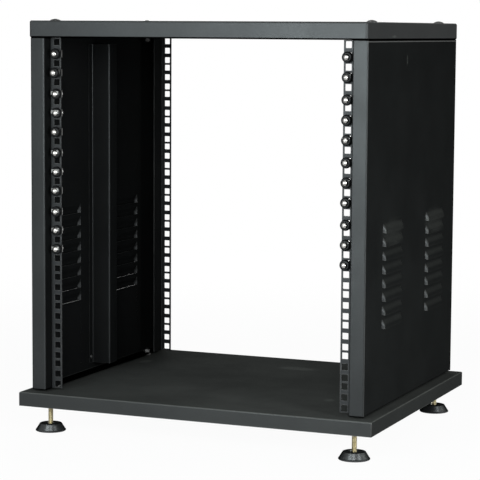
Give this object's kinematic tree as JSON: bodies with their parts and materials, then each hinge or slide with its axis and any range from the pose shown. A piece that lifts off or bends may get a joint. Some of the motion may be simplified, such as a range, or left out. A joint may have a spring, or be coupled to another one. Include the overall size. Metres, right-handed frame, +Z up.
{
  "type": "studio equipment rack",
  "caption": "Open-frame steel rack for 19 inch equipment, with louvred closed sides, square-hole rails, folded base and cover, and screwed levelling feet.",
  "frame": {"origin": "on the floor, under the middle of the rack's overall box", "axes": "+Z up, -Y out of the front, +X to the right seen from the front"},
  "size_m": [0.568, 0.456, 0.6296],
  "materials": {
    "powder_coat": "fine-texture black powder coat",
    "rail_coat": "smooth black powder coat",
    "nickel_screw": "bright nickel plate",
    "washer_plastic": "black moulded plastic",
    "spring_steel": "zinc-plated spring steel",
    "zinc_steel": "zinc plate",
    "black_screw": "black oxide",
    "yellow_zinc": "yellow zinc plate",
    "foot_rubber": "matt black"
  },
  "bodies": {
    "rack": {"base_nuts": "zinc_steel", "base_screws": "black_screw", "base_tray": "powder_coat", "base_washers": "zinc_steel", "cage_nuts_left": "spring_steel", "cage_nuts_right": "spring_steel", "cover_nuts": "black_screw", "cover_screws": "black_screw", "cover_spacers": "black_screw", "cup_washers_left": "washer_plastic", "cup_washers_right": "washer_plastic", "foot_bracket_front_left": "powder_coat", "foot_bracket_front_right": "powder_coat", "foot_bracket_rear_left": "powder_coat", "foot_bracket_rear_right": "powder_coat", "foot_nut_front_left": "zinc_steel", "foot_nut_front_right": "zinc_steel", "foot_nut_rear_left": "zinc_steel", "foot_nut_rear_right": "zinc_steel", "front_rail_left": "rail_coat", "front_rail_right": "rail_coat", "rack_screws_left": "nickel_screw", "rack_screws_right": "nickel_screw", "rear_rail_left": "rail_coat", "rear_rail_right": "rail_coat", "side_panel_left": "powder_coat", "side_panel_right": "powder_coat", "top_cover": "powder_coat", "wall_channel_left": "powder_coat", "wall_channel_right": "powder_coat"},
    "foot_front_left": {"foot_stem_front_left": "yellow_zinc", "foot_pad_front_left": "foot_rubber"},
    "foot_front_right": {"foot_stem_front_right": "yellow_zinc", "foot_pad_front_right": "foot_rubber"},
    "foot_rear_left": {"foot_stem_rear_left": "yellow_zinc", "foot_pad_rear_left": "foot_rubber"},
    "foot_rear_right": {"foot_stem_rear_right": "yellow_zinc", "foot_pad_rear_right": "foot_rubber"}
  },
  "joints": [
    {"name": "foot_front_left_level", "type": "slide", "parent": "rack", "child": "foot_front_left", "axis": [0, 0, 1], "range_m": [-0.006, 0.005]},
    {"name": "foot_front_right_level", "type": "slide", "parent": "rack", "child": "foot_front_right", "axis": [0, 0, 1], "range_m": [-0.006, 0.005]},
    {"name": "foot_rear_left_level", "type": "slide", "parent": "rack", "child": "foot_rear_left", "axis": [0, 0, 1], "range_m": [-0.006, 0.005]},
    {"name": "foot_rear_right_level", "type": "slide", "parent": "rack", "child": "foot_rear_right", "axis": [0, 0, 1], "range_m": [-0.006, 0.005]}
  ]
}
